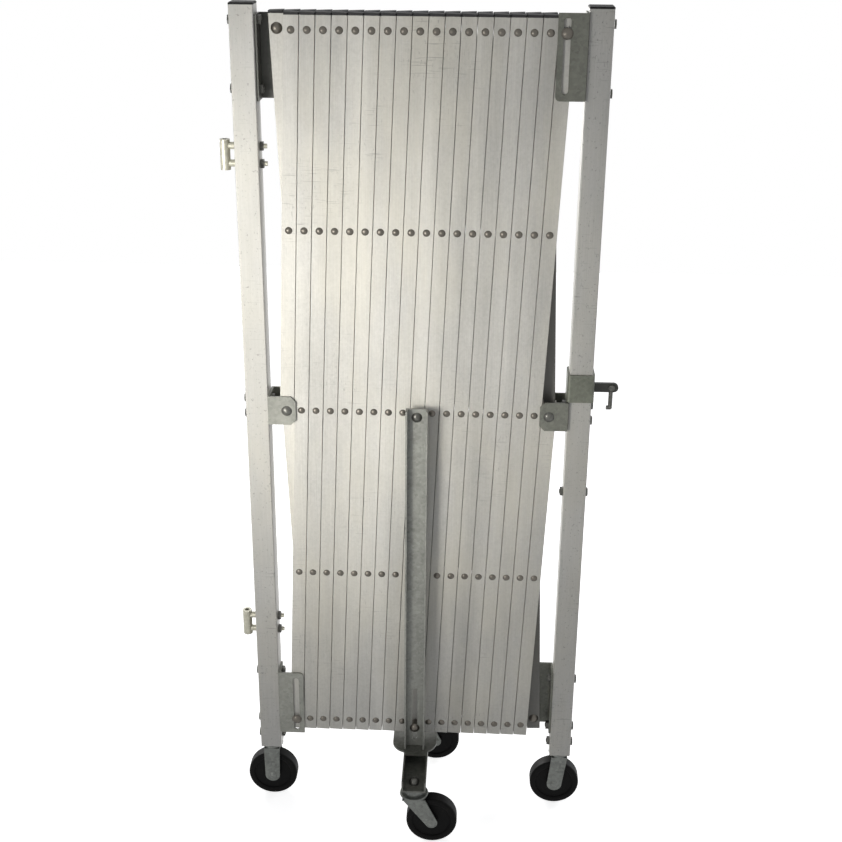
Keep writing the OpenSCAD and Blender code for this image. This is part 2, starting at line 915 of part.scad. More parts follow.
// King bolt of a centre caster, with a cap nut in the rail and its head under the crown
module king_bolt() {
    head_z = rail_z + rail_t;
    nut_z = foot_crown_z - nut_h - play;
    translate([0, 0, head_z]) {
        cylinder(h = cap_nut_h, d = cap_nut_d);
        translate([0, 0, cap_nut_h])
            dome(cap_nut_d, cap_dome_h);
    }
    translate([0, 0, nut_z])
        cylinder(h = head_z - nut_z, r = bolt_r);
    translate([0, 0, nut_z])
        cylinder(h = nut_h, d = nut_w / cos(30), $fn = hex);
}

module center_bolts() {
    color("#a9aaa6") {
        at_pivot(bays / 2, 2) {
            dome_front(channel_y, dome_d, dome_h);
            rod_y(channel_y, rear_y + slat_t + nut_h + bolt_tip, bolt_r);
            spacer_y(web_y, front_y - play);
            spacer_y(front_y + slat_t + play, rear_y - play);
            nut_y(rear_y + slat_t + play);
        }
        for (y = [-1, 1])
            translate([foot_x, y * swivel_y, 0])
                king_bolt();
    }
}

// Casters

// Share of the end's radius at which a leg's sides meet it
leg_meet = 0.985;

// Point where a line from p touches the circle round c, on the given side
function touch(p, c, r, side) =
    let (d = norm(p - c), a = atan2(p[1] - c[1], p[0] - c[0]) + side * acos(r / d))
    c + r * [cos(a), sin(a)];

// One leg of a fork, in the x-z plane; its sides meet the round end at a slight angle
module leg_shape(w, trail, r, top) {
    c = [trail, axle_z];
    a = [-w / 2, top];
    b = [w / 2, top];
    polygon([a, b, touch(b, c, r * leg_meet, -1), c, touch(a, c, r * leg_meet, 1)]);
    translate(c)
        circle(r);
}

// Disc with a round rim, standing on z = 0
module rim_disc(d, h) {
    rotate_extrude() {
        square([d / 2 - h / 2, h]);
        translate([d / 2 - h / 2, h / 2])
            circle(h / 2);
    }
}

// Swivel head of a centre caster, a round rim with a neck over it
module swivel_head() {
    cylinder(h = disc_h, d = disc_neck_d);
    rim_disc(disc_d, disc_rim);
}

// Fork and axle, with the swivel axis at x = 0; the first child stands on the crown, the second is cut away
module fork(w, gap, trail, end_r, crown) {
    in = wheel_w / 2 + gap;
    difference() {
        union() {
            for (y = [-in - fork_t, in])
                upright_plate(y, fork_t)
                    leg_shape(w, trail, end_r, crown + fork_t);
            translate([-w / 2, -in - fork_t, crown])
                cube([w, 2 * (in + fork_t), fork_t]);
            translate([0, 0, crown + fork_t])
                children(0);
        }
        translate([trail, 0, axle_z])
            rod_y(-in - 2 * fork_t, in + 2 * fork_t, axle_d / 2 + axle_play);
        if ($children > 1)
            children(1);
    }
    translate([trail, 0, axle_z]) {
        rod_y(-in - fork_t - seat, in + fork_t + axle_head_h, axle_d / 2);
        dome_front(-in - fork_t - seat, axle_head_d, axle_head_h);
        rod_y(in + fork_t + seat, in + fork_t + axle_head_h, axle_head_d / 2);
    }
}

module post_fork(trail) {
    color("#b0b1aa") {
        fork(post_fork_w, post_fork_gap, trail, post_fork_end, post_crown_z)
            rim_disc(post_head_d, post_head_h);
        translate([0, 0, post_crown_z + fork_t])
            cylinder(h = post_head_h + swivel_gap + stem_h, d = stem_d);
    }
}

module foot_fork() {
    color("#a4a59e")
        fork(foot_fork_w, foot_fork_gap, foot_trail, foot_fork_end, foot_crown_z) {
            swivel_head();
            translate([0, 0, foot_crown_z - 1])
                cylinder(h = fork_t + disc_h + 2, r = bolt_hole_r);
        }
}

module wheel() {
    r = wheel_d / 2;
    in_r = axle_d / 2 + play;
    translate([0, 0, axle_z])
        rotate([90, 0, 0])
            rotate_extrude() {
                translate([in_r, -wheel_w / 2])
                    square([hub_d / 2 - in_r, wheel_w]);
                translate([in_r, dish - wheel_w / 2])
                    square([r - tread_h / 2 - in_r, wheel_w - 2 * dish]);
                translate([r - tread_h / 2, 0])
                    round_rect(tread_h, wheel_w, tread_r);
            }
}

module left_fork() {
    translate([left_x - post_x, 0, 0])
        post_fork(0);
}

module right_fork() {
    translate([right_x + post_x, 0, 0])
        post_fork(right_trail);
}

module left_wheel() {
    color("#262626")
        translate([left_x - post_x, 0, 0])
            wheel();
}

module right_wheel() {
    color("#262626")
        translate([right_x + post_x + right_trail, 0, 0])
            wheel();
}

module foot_front_fork() {
    translate([foot_x, -swivel_y, 0])
        foot_fork();
}

module foot_rear_fork() {
    translate([foot_x, swivel_y, 0])
        foot_fork();
}

module foot_front_wheel() {
    color("#262626")
        translate([foot_x + foot_trail, -swivel_y, 0])
            wheel();
}

module foot_rear_wheel() {
    color("#262626")
        translate([foot_x + foot_trail, swivel_y, 0])
            wheel();
}

for (m = [-1:bays - 1])
    front_slat(m);
for (m = [-1:bays - 1])
    rear_slat(m);
left_post();
right_post();
left_brackets();
right_brackets();
left_plugs();
right_plugs();
hinge_sleeves();
left_fasteners();
right_fasteners();
latch_collar();
latch_hook();
center_channel();
center_foot();
center_bolts();
left_fork();
right_fork();
foot_front_fork();
foot_rear_fork();
left_wheel();
right_wheel();
foot_front_wheel();
foot_rear_wheel();
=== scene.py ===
"""Folded scissor gate of aluminum slats: materials, worn finishes, light and camera."""
import math

import bpy
from mathutils import Matrix, Vector

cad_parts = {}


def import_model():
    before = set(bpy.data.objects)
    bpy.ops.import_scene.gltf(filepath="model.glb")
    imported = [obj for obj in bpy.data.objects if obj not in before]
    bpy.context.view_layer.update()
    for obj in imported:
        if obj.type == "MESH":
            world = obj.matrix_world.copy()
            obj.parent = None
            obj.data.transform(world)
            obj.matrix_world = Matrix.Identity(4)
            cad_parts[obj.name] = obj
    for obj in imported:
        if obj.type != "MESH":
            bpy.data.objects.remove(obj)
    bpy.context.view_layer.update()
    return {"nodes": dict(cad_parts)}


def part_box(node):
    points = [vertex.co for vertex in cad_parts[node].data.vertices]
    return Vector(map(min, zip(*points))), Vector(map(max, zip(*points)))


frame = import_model()
nodes = frame["nodes"]
bpy.ops.object.select_all(action="DESELECT")

# Lengths are in metres, in the part's own frame.

# The lattice's middle and the height of its middle row of pivots
GATE_MIDDLE_X = (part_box("center_channel")[0][0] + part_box("center_channel")[1][0]) / 2
MIDDLE_ROW_Z = 0.6628
# Front face of the front slats and of the rear slats, the rear slats' open side,
# and the lower edge of the caps on the upper ends
SLAT_FACE_Y = -0.0174
REAR_FACE_Y = 0.0008
SLAT_BACK_Y = 0.0174
SLAT_CAP_Z = 1.19485
# How far off a slat's face or back the rivets' steel starts
RIVET_CLEAR = 0.00006
# Depth from a rear slat's front face over which painted shade darkens it
SHADED_FACE_DEPTH = 0.0008
# Width over which one finish gives way to the next, to each side of the edge
EDGE_BLUR = 0.00004
# A place beyond every piece at rest, for a span with one open end
FAR = 2.0

# Painted shade on the insides of the centre channel and of the foot's rail.
# Of both: the thickness of the web, which stays bright, and how far short of it the dark ends.
# Of the channel: how far in from its sides and from its open edge the dark starts.
# Of the rail: how far under the foot's top the dark ends, its inner half width, and how far its middle
# is from the channel's.
WEB = 0.0025
WEB_GAP = 0.0003
CHANNEL_SIDE = 0.0024
CHANNEL_EDGE = 0.0004
RAIL_TOP = 0.0034
RAIL_INSIDE = 0.0156
RAIL_OFFSET = 0.0027
# Height above the middle row from which the left brackets carry painted shade, and how far beyond the right
# post's side the painted shade of the latch arm starts
UPPER_BRACKET_RISE = 0.2
LATCH_ARM_START = 0.004

# Noise patterns: scale along X, Y and Z, shift, detail and roughness
FINE_LINES = ((900, 900, 9), (0, 0, 0), 4.0, 0.6)
TONE_BANDS = ((27, 20, 0.7), (3.1, 0, 0), 1.0, 0.5)
SCUFF_PATCHES = ((9, 9, 6), (0.4, 0, 1.7), 3.0, 0.55)
NICKS = ((420, 420, 110), (0, 0, 0), 2.0, 0.7)
RUBS = ((38, 38, 900), (0, 0, 5.2), 1.0, 0.5)
SMUDGES = ((14, 14, 5), (7.7, 0, 0), 5.0, 0.65)
MOTTLE = ((320, 320, 260), (0, 0, 0), 4.0, 0.7)
YELLOWING = ((11, 11, 5), (2.3, 0, 0.8), 3.0, 0.55)
POST_SPECKS = ((330, 330, 240), (1.3, 0, 0), 2.0, 0.6)
STEEL_BLOOM = ((30, 30, 30), (0, 0, 0), 5.0, 0.65)
FLOOR_DUST = ((60, 60, 60), (0, 0, 0), 5.0, 0.7)
MOULD_GRAIN = ((900, 900, 900), (0, 0, 0), 2.0, 0.55)
CRYSTAL_SCALE = 260

# The value from which a pattern shows and the value at which it shows in full
PATCH_EDGES = (0.52, 0.68)
NICK_EDGES = (0.62, 0.72)
RUB_EDGES = (0.66, 0.72)
SMUDGE_EDGES = (0.4, 0.72)
YELLOWING_EDGES = (0.42, 0.66)
SPECK_EDGES = (0.64, 0.7)
ALUMINUM_EDGES = (0.34, 0.64)
STEEL_EDGES = (0.28, 0.72)
DUST_EDGES = (0.45, 0.8)

# The pattern's values between which the roughness changes, and by how much it changes there
ALUMINUM_ROUGH_EDGES, ALUMINUM_ROUGH_CHANGE = (0.3, 0.7), (-0.05, 0.06)
STEEL_ROUGH_EDGES, STEEL_ROUGH_CHANGE = (0.2, 0.8), (-0.07, 0.09)
BLACK_ROUGH_EDGES, BLACK_ROUGH_CHANGE = (0.3, 0.7), (-0.06, 0.12)
SMUDGE_ROUGH = 0.08

# Shares of one pattern in a sum of two: slow bands among the lines of the slats and of the posts,
# mottle in both, and bloom among the crystals of the steel
SLAT_BAND_SHARE = 0.65
POST_BAND_SHARE = 0.3
MOTTLE_SHARE = 0.3
BLOOM_SHARE = 0.78

# How strongly each mark covers the metal, and its tone as a share of the metal's dark tone
YELLOWING_COVER = 0.4
SMUDGE_COVER, SMUDGE_SHADE = 0.22, 0.55
SCUFF_COVER, SCUFF_SHADE = 0.5, 0.35
SPECK_COVER, SPECK_SHADE = 0.55, 0.4
STEEL_SMUDGE_COVER, STEEL_SMUDGE_SHADE = 0.25, 0.6
# The yellowed tone as a share of the light tone's green and blue
YELLOW_GREEN, YELLOW_BLUE = 0.97, 0.86

# Relief of the grain: depth and strength
ALUMINUM_RELIEF = (0.00004, 0.35)
STEEL_RELIEF_DEPTH = 0.00008
BLACK_RELIEF = (0.00006, 0.3)

# Tones, darkest and lightest where there are two, with their metallic and roughness
SLAT_DARK, SLAT_LIGHT = (0.42, 0.414, 0.388), (0.64, 0.63, 0.594)
SLAT_METAL, SLAT_ROUGH = 0.12, 0.5
RIVET_DARK, RIVET_LIGHT = (0.062, 0.056, 0.047), (0.18, 0.165, 0.142)
RIVET_METAL, RIVET_ROUGH = 0.7, 0.36
CAP_BLACK, CAP_ROUGH = (0.005, 0.005, 0.006), 0.7
POST_DARK, POST_LIGHT = (0.385, 0.382, 0.363), (0.475, 0.47, 0.45)
POST_METAL, POST_ROUGH = 0.15, 0.40
# Painted shade: dark tones that stand in for the shade on the rear slats' front faces, on the insides of the
# channel and the rail, on the upper left bracket and on the latch arm, and how strongly they cover
SHADED_FACE_TONE, SHADED_FACE_COVER = (0.07, 0.068, 0.062), 0.8
PAINTED_SHADE_TONE = (0.03, 0.03, 0.027)
INSIDE_COVER, UPPER_BRACKET_COVER = 0.85, 0.8
LATCH_ARM_PAINTED_SHADE = (0.018, 0.0185, 0.015)

# Steel finishes: dark tone, light tone, metallic, roughness and strength of the relief
STEELS = {
    "channel_galvanised": ((0.20, 0.205, 0.185), (0.35, 0.355, 0.325), 0.2, 0.42, 0.3),
    # The foot's galvanised tones are darkened as painted shade
    "foot_galvanised_shaded": ((0.082, 0.084, 0.072), (0.165, 0.168, 0.147), 0.2, 0.38, 0.3),
    # The left and right brackets are a lit and a shaded copy of one galvanised finish: painted light on the
    # left, painted shade on the right
    "left_bracket_galvanised": ((0.19, 0.193, 0.172), (0.31, 0.314, 0.28), 0.35, 0.42, 0.3),
    "bracket_galvanised": ((0.10, 0.104, 0.086), (0.19, 0.195, 0.165), 0.3, 0.45, 0.3),
    "sleeve_zinc": ((0.34, 0.33, 0.27), (0.55, 0.54, 0.45), 0.5, 0.4, 0.3),
    "latch_zinc": ((0.105, 0.112, 0.088), (0.19, 0.20, 0.16), 0.3, 0.42, 0.3),
    "fork_zinc_plate": ((0.095, 0.10, 0.092), (0.20, 0.21, 0.195), 0.6, 0.34, 0.02),
    "bolt_zinc_plate": ((0.05, 0.05, 0.045), (0.14, 0.14, 0.126), 0.6, 0.34, 0.15),
}
# Black finishes: dark tone, light tone, roughness and specular
BLACKS = {
    "wheel_black": ((0.003, 0.003, 0.003), (0.011, 0.0105, 0.01), 0.5, 0.08),
    "plug_black": ((0.010, 0.010, 0.010), (0.03, 0.03, 0.03), 0.55, 0.15),
}

# Floor: its width, its drop under the wheels, and its grey, roughness and specular
FLOOR_WIDTH = 6
FLOOR_DROP = 0.0005
FLOOR_GREY, FLOOR_ROUGH, FLOOR_SPECULAR = 0.9, 0.9, 0.2
# Distance from the middle over which the floor fades into the background, and its own glow at both ends
FADE_EDGES, FADE_GLOW = (0.3, 0.9), (0.78, 1.0)
# Surrounding light that falls on the object
SOFT_TINT, SOFT_STRENGTH = (0.93, 0.95, 1.0), 0.2

# Lamps: name, place, aim, width, power in watts, tint and spread in degrees
LAMPS = (
    ("key_left", (-0.80, -0.96, 0.84), (-0.27, 0, 0.77), 0.6, 3.05, (1.0, 0.975, 0.92), 58),
    ("front_fill", (0.6, -2.6, 1.7), (0, 0, 0.6), 1.4, 1.2, (0.95, 0.97, 1.0), 180),
    ("back_left", (-1.3, 2.3, 1.0), (0, 0, 0.66), 1.0, 10, (1.0, 0.99, 0.97), 80),
    ("back_right", (2.3, 1.4, 0.95), (0, 0, 0.66), 1.0, 8, (0.97, 0.98, 1.0), 80),
)

# Camera: its place from the middle pivot on the slats' face, its turn, downward look and roll in degrees,
# and the focal length and the width of the photograph in pixels
CAMERA_FROM_PIVOT = (0.0727, -1.7157, 0.7015)
CAMERA_TURN, CAMERA_DOWN, CAMERA_ROLL = 2.257, 22.556, 0.4925
FOCAL_PIXELS, PHOTO_PIXELS = 1330, 842
SENSOR_WIDTH = 36


# Shader building

def new_group(name, labels):
    """Start a shader group with number outputs and return it with its output node."""
    group = bpy.data.node_groups.new(name, "ShaderNodeTree")
    for label in labels:
        group.interface.new_socket(label, in_out="OUTPUT", socket_type="NodeSocketFloat")
    return group, group.nodes.new("NodeGroupOutput")


def number(tree, operation, a, b):
    """A math node whose inputs are sockets or plain numbers."""
    node = tree.nodes.new("ShaderNodeMath")
    node.operation = operation
    for index, value in enumerate((a, b)):
        if isinstance(value, (int, float)):
            node.inputs[index].default_value = value
        else:
            tree.links.new(value, node.inputs[index])
    return node.outputs[0]


def shared(tree, first, second, share):
    """Sum of two values, in which the second has the given share."""
    kept = number(tree, "MULTIPLY", first, 1 - share)
    return number(tree, "ADD", kept, number(tree, "MULTIPLY", second, share))


def stretched(tree, scale=(1, 1, 1), shift=(0, 0, 0)):
    """Object coordinates, scaled along each axis, for patterns that run along a piece."""
    coords = tree.nodes.new("ShaderNodeTexCoord")
    mapping = tree.nodes.new("ShaderNodeMapping")
    mapping.inputs["Scale"].default_value = scale
    mapping.inputs["Location"].default_value = shift
    tree.links.new(coords.outputs["Object"], mapping.inputs["Vector"])
    return mapping.outputs["Vector"]


def cloudy(tree, pattern):
    """Noise value of a pattern."""
    scale, shift, detail, rough = pattern
    noise = tree.nodes.new("ShaderNodeTexNoise")
    noise.inputs["Scale"].default_value = 1.0
    noise.inputs["Detail"].default_value = detail
    noise.inputs["Roughness"].default_value = rough
    tree.links.new(stretched(tree, scale, shift), noise.inputs["Vector"])
    return noise.outputs["Fac"]


def spread(tree, value, edges, results):
    """Map the range between two edges to the range of the results, clamped."""
    node = tree.nodes.new("ShaderNodeMapRange")
    node.clamp = True
    for label, setting in zip(("From Min", "From Max", "To Min", "To Max"), (*edges, *results)):
        node.inputs[label].default_value = setting
    tree.links.new(value, node.inputs["Value"])
    return node.outputs["Result"]


def showing(tree, value, edges):
    """Mask that is 0 below the lower edge and 1 above the upper one."""
    return spread(tree, value, edges, (0, 1))


def varied(tree, value, edges, rough, change):
    """Roughness that changes with a pattern between its edges."""
    return spread(tree, value, edges, (rough + change[0], rough + change[1]))


def beyond(tree, axis, edge):
    """Mask that is 1 where a coordinate of the piece is past an edge."""
    split = tree.nodes.new("ShaderNodeSeparateXYZ")
    tree.links.new(stretched(tree), split.inputs["Vector"])
    return showing(tree, split.outputs[axis], (edge - EDGE_BLUR, edge + EDGE_BLUR))


def before(tree, axis, edge):
    """Mask that is 1 where a coordinate of the piece is short of an edge."""
    return number(tree, "SUBTRACT", 1.0, beyond(tree, axis, edge))


def mixed(tree, amount, base, top):
    """Lay one colour over another by an amount, each a plain tone or a changing colour."""
    mix = tree.nodes.new("ShaderNodeMix")
    mix.data_type = "RGBA"
    for label, colour in (("A", base), ("B", top)):
        if isinstance(colour, tuple):
            mix.inputs[label].default_value = (*colour, 1)
        else:
            tree.links.new(colour, mix.inputs[label])
    tree.links.new(amount, mix.inputs["Factor"])
    return mix.outputs["Result"]


def mixed_number(tree, amount, base, top):
    """Blend a number or a changing value into another number by an amount."""
    mix = tree.nodes.new("ShaderNodeMix")
    mix.data_type = "FLOAT"
    if isinstance(base, (int, float)):
        mix.inputs["A"].default_value = base
    else:
        tree.links.new(base, mix.inputs["A"])
    mix.inputs["B"].default_value = top
    tree.links.new(amount, mix.inputs["Factor"])
    return mix.outputs["Result"]


def marked(tree, mark, cover, base, tone):
    """Lay a plain tone over a colour where a mark shows, as strongly as it covers."""
    return mixed(tree, number(tree, "MULTIPLY", mark, cover), base, tone)


def shade(tone, share):
    """A tone darkened to a share of itself."""
    return tuple(part * share for part in tone)


def bumped(tree, shader, height, distance, strength):
    """Fine relief on a shader."""
    bump = tree.nodes.new("ShaderNodeBump")
    bump.inputs["Distance"].default_value = distance
    bump.inputs["Strength"].default_value = strength
    tree.links.new(height, bump.inputs["Height"])
    tree.links.new(bump.outputs["Normal"], shader.inputs["Normal"])


# Effects that several finishes use

def drawn_grain():
    """Fine lines along a drawn aluminum section, with a slow change of tone from slat to slat."""
    group, out = new_group("drawn_grain", ("Lines", "Tone"))
    group.links.new(cloudy(group, FINE_LINES), out.inputs["Lines"])
    group.links.new(cloudy(group, TONE_BANDS), out.inputs["Tone"])
    return group


def handling_marks():
    """Scuffs, smudges, mottle and yellowing left by use."""
    group, out = new_group("handling_marks", ("Scuffs", "Smudges", "Mottle", "Yellowing"))
    patches = showing(group, cloudy(group, SCUFF_PATCHES), PATCH_EDGES)
    nicks = showing(group, cloudy(group, NICKS), NICK_EDGES)
    rubs = showing(group, cloudy(group, RUBS), RUB_EDGES)
    scuffs = number(group, "MULTIPLY", patches, number(group, "MAXIMUM", nicks, rubs))
    group.links.new(scuffs, out.inputs["Scuffs"])
    group.links.new(showing(group, cloudy(group, SMUDGES), SMUDGE_EDGES), out.inputs["Smudges"])
    group.links.new(cloudy(group, MOTTLE), out.inputs["Mottle"])
    group.links.new(showing(group, cloudy(group, YELLOWING), YELLOWING_EDGES), out.inputs["Yellowing"])
    return group


def zinc_bloom():
    """Cloudy crystals of a galvanised or plated face."""
    group, out = new_group("zinc_bloom", ("Crystals", "Bloom"))
    cells = group.nodes.new("ShaderNodeTexVoronoi")
    cells.inputs["Scale"].default_value = CRYSTAL_SCALE
    group.links.new(stretched(group), cells.inputs["Vector"])
    crystals = group.nodes.new("ShaderNodeSeparateColor")
    group.links.new(cells.outputs["Color"], crystals.inputs["Color"])
    group.links.new(crystals.outputs["Red"], out.inputs["Crystals"])
    group.links.new(cloudy(group, STEEL_BLOOM), out.inputs["Bloom"])
    return group


GRAIN = drawn_grain()
MARKS = handling_marks()
BLOOM = zinc_bloom()


def placed(tree, group):
    """One use of a shared effect in a material."""
    node = tree.nodes.new("ShaderNodeGroup")
    node.node_tree = group
    return node.outputs


# Finishes

def new_finish(name, metallic, specular=0.5):
    """A material with its Principled shader, the shader's fixed values set on it."""
    material = bpy.data.materials.new(name)
    material.use_nodes = True
    shader = material.node_tree.nodes["Principled BSDF"]
    shader.inputs["Metallic"].default_value = metallic
    shader.inputs["Specular IOR Level"].default_value = specular
    return material, material.node_tree, shader


def aluminum_look(tree, dark, light, rough, band_share):
    """Colour, roughness and relief of mill-finish aluminum: grain along the piece and the marks of use."""
    grain, marks = placed(tree, GRAIN), placed(tree, MARKS)
    tone = shared(tree, grain["Lines"], grain["Tone"], band_share)
    tone = shared(tree, tone, marks["Mottle"], MOTTLE_SHARE)
    yellowed = (light[0], light[1] * YELLOW_GREEN, light[2] * YELLOW_BLUE)
    colour = mixed(tree, showing(tree, tone, ALUMINUM_EDGES), dark, light)
    colour = marked(tree, marks["Yellowing"], YELLOWING_COVER, colour, yellowed)
    colour = marked(tree, marks["Smudges"], SMUDGE_COVER, colour, shade(dark, SMUDGE_SHADE))
    colour = marked(tree, marks["Scuffs"], SCUFF_COVER, colour, shade(dark, SCUFF_SHADE))
    roughness = varied(tree, grain["Lines"], ALUMINUM_ROUGH_EDGES, rough, ALUMINUM_ROUGH_CHANGE)
    roughness = number(tree, "ADD", roughness, number(tree, "MULTIPLY", marks["Smudges"], SMUDGE_ROUGH))
    relief = number(tree, "SUBTRACT", grain["Lines"], marks["Scuffs"])
    return colour, roughness, relief


def post_aluminum(name):
    """Mill-finish aluminum of the posts, with dark specks."""
    material, tree, shader = new_finish(name, POST_METAL)
    colour, roughness, relief = aluminum_look(tree, POST_DARK, POST_LIGHT, POST_ROUGH, POST_BAND_SHARE)
    specks = showing(tree, cloudy(tree, POST_SPECKS), SPECK_EDGES)
    colour = marked(tree, specks, SPECK_COVER, colour, shade(POST_DARK, SPECK_SHADE))
    tree.links.new(colour, shader.inputs["Base Color"])
    tree.links.new(roughness, shader.inputs["Roughness"])
    bumped(tree, shader, relief, *ALUMINUM_RELIEF)
    return material


def riveted_slat(name, face_y, shaded_face=False):
    """Mill-finish slat with steel rivets and bolts through it and a black cap on its upper end.

    With the last argument set, the slat's front face is painted darker, a painted shade for the shade that
    falls between the two layers of slats.
    """
    material, tree, shader = new_finish(name, SLAT_METAL)
    colour, roughness, relief = aluminum_look(tree, SLAT_DARK, SLAT_LIGHT, SLAT_ROUGH, SLAT_BAND_SHARE)
    # Painted shade on the rear slat's front face, where the front slats shade it
    if shaded_face:
        colour = marked(tree, before(tree, "Y", face_y + SHADED_FACE_DEPTH), SHADED_FACE_COVER, colour, SHADED_FACE_TONE)
    steel_tone = mixed(tree, placed(tree, BLOOM)["Bloom"], RIVET_DARK, RIVET_LIGHT)
    steel = number(tree, "MAXIMUM", before(tree, "Y", face_y - RIVET_CLEAR),
                   beyond(tree, "Y", SLAT_BACK_Y + RIVET_CLEAR))
    cap = beyond(tree, "Z", SLAT_CAP_Z)
    colour = mixed(tree, steel, colour, steel_tone)
    tree.links.new(mixed(tree, cap, colour, CAP_BLACK), shader.inputs["Base Color"])
    roughness = mixed_number(tree, steel, roughness, RIVET_ROUGH)
    tree.links.new(mixed_number(tree, cap, roughness, CAP_ROUGH), shader.inputs["Roughness"])
    metal = mixed_number(tree, steel, SLAT_METAL, RIVET_METAL)
    tree.links.new(mixed_number(tree, cap, metal, 0.0), shader.inputs["Metallic"])
    bumped(tree, shader, relief, *ALUMINUM_RELIEF)
    return material


def zinc_steel(name, dark, light, metallic, rough, relief):
    """Galvanised or plated steel with a cloudy bloom."""
    material, tree, shader = new_finish(name, metallic)
    bloom, marks = placed(tree, BLOOM), placed(tree, MARKS)
    tone = shared(tree, bloom["Crystals"], bloom["Bloom"], BLOOM_SHARE)
    colour = mixed(tree, showing(tree, tone, STEEL_EDGES), dark, light)
    colour = marked(tree, marks["Smudges"], STEEL_SMUDGE_COVER, colour, shade(dark, STEEL_SMUDGE_SHADE))
    tree.links.new(colour, shader.inputs["Base Color"])
    roughness = varied(tree, tone, STEEL_ROUGH_EDGES, rough, STEEL_ROUGH_CHANGE)
    tree.links.new(roughness, shader.inputs["Roughness"])
    bumped(tree, shader, bloom["Bloom"], STEEL_RELIEF_DEPTH, relief)
    return material


def moulded_black(name, dark, light, rough, specular):
    """Black rubber or plastic with floor dust in its grain."""
    material, tree, shader = new_finish(name, 0.0, specular)
    dust = cloudy(tree, FLOOR_DUST)
    colour = mixed(tree, showing(tree, dust, DUST_EDGES), dark, light)
    tree.links.new(colour, shader.inputs["Base Color"])
    roughness = varied(tree, dust, BLACK_ROUGH_EDGES, rough, BLACK_ROUGH_CHANGE)
    tree.links.new(roughness, shader.inputs["Roughness"])
    bumped(tree, shader, cloudy(tree, MOULD_GRAIN), *BLACK_RELIEF)
    return material


def darker_within(material, spans, tone, cover=1.0):
    """Darken a finish where the piece lies within spans, one pair of edges for each named axis."""
    tree = material.node_tree
    shader = tree.nodes["Principled BSDF"]
    clean_colour = shader.inputs["Base Color"].links[0].from_socket
    inside = cover
    for axis, (low, high) in spans.items():
        span = number(tree, "SUBTRACT", beyond(tree, axis, low), beyond(tree, axis, high))
        inside = number(tree, "MULTIPLY", span, inside)
    tree.links.new(mixed(tree, inside, clean_colour, tone), shader.inputs["Base Color"])


def inner_spans():
    """The spans of the painted shade inside the centre channel and the foot's rail."""
    low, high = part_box("center_channel")
    channel = {
        "X": (low[0] + CHANNEL_SIDE, high[0] - CHANNEL_SIDE),
        "Y": (low[1] + CHANNEL_EDGE, high[1] - WEB - WEB_GAP),
    }
    low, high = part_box("center_foot")
    rail_x = GATE_MIDDLE_X + RAIL_OFFSET
    rail = {
        "X": (rail_x - RAIL_INSIDE, rail_x + RAIL_INSIDE),
        "Z": (low[2] + WEB + WEB_GAP, high[2] - RAIL_TOP),
    }
    return channel, rail


front_slat = riveted_slat("front_slat_aluminum", SLAT_FACE_Y)
# The rear slats' front faces carry painted shade
rear_slat = riveted_slat("rear_slat_aluminum", REAR_FACE_Y, shaded_face=True)
end_slat = riveted_slat("end_slat_aluminum", REAR_FACE_Y)
post = post_aluminum("post_aluminum")
steels = {name: zinc_steel(name, *look) for name, look in STEELS.items()}
blacks = {name: moulded_black(name, *look) for name, look in BLACKS.items()}

channel_inside, rail_inside = inner_spans()
# Painted shade: the insides of the channel and of the rail are darkened where shade falls in them
darker_within(steels["channel_galvanised"], channel_inside, PAINTED_SHADE_TONE, INSIDE_COVER)
darker_within(steels["foot_galvanised_shaded"], rail_inside, PAINTED_SHADE_TONE, INSIDE_COVER)
# Painted shade on the upper left bracket
darker_within(steels["left_bracket_galvanised"], {"Z": (MIDDLE_ROW_Z + UPPER_BRACKET_RISE, FAR)},
              PAINTED_SHADE_TONE, UPPER_BRACKET_COVER)
# Painted shade on the latch arm beyond the right post
latch_arm_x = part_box("right_post")[1][0] + LATCH_ARM_START
darker_within(steels["latch_zinc"], {"X": (latch_arm_x, FAR)}, LATCH_ARM_PAINTED_SHADE)

# Finishes of single nodes, and of all other nodes by a part of their name
NAMED = {
    "rear_slat_left_half": end_slat,
    "rear_slat_00": end_slat,
    "rear_slat_01": end_slat,
    "center_bolts": steels["bolt_zinc_plate"],
    "latch_hook": steels["bolt_zinc_plate"],
    "center_channel": steels["channel_galvanised"],
    "center_foot": steels["foot_galvanised_shaded"],
    # Lit copy of the bracket finish on the left, shaded copy on the right
    "left_brackets": steels["left_bracket_galvanised"],
    "right_brackets": steels["bracket_galvanised"],
    "hinge_sleeves": steels["sleeve_zinc"],
    "latch_collar": steels["latch_zinc"],
}
KINDS = {
    "front_slat": front_slat,
    "rear_slat": rear_slat,
    "_post": post,
    "_fork": steels["fork_zinc_plate"],
    "_wheel": blacks["wheel_black"],
    "_plugs": blacks["plug_black"],
    "_fasteners": steels["bolt_zinc_plate"],
}
for name, piece in nodes.items():
    finish = NAMED.get(name) or next(KINDS[kind] for kind in KINDS if kind in name)
    piece.data.materials.clear()
    piece.data.materials.append(finish)


# Floor and light

def background_rays(tree):
    """1 for what the camera sees straight, in a gloss or through glass."""
    ray = tree.nodes.new("ShaderNodeLightPath")
    seen = number(tree, "MAXIMUM", ray.outputs["Is Camera Ray"], ray.outputs["Is Glossy Ray"])
    return number(tree, "MAXIMUM", seen, ray.outputs["Is Transmission Ray"])


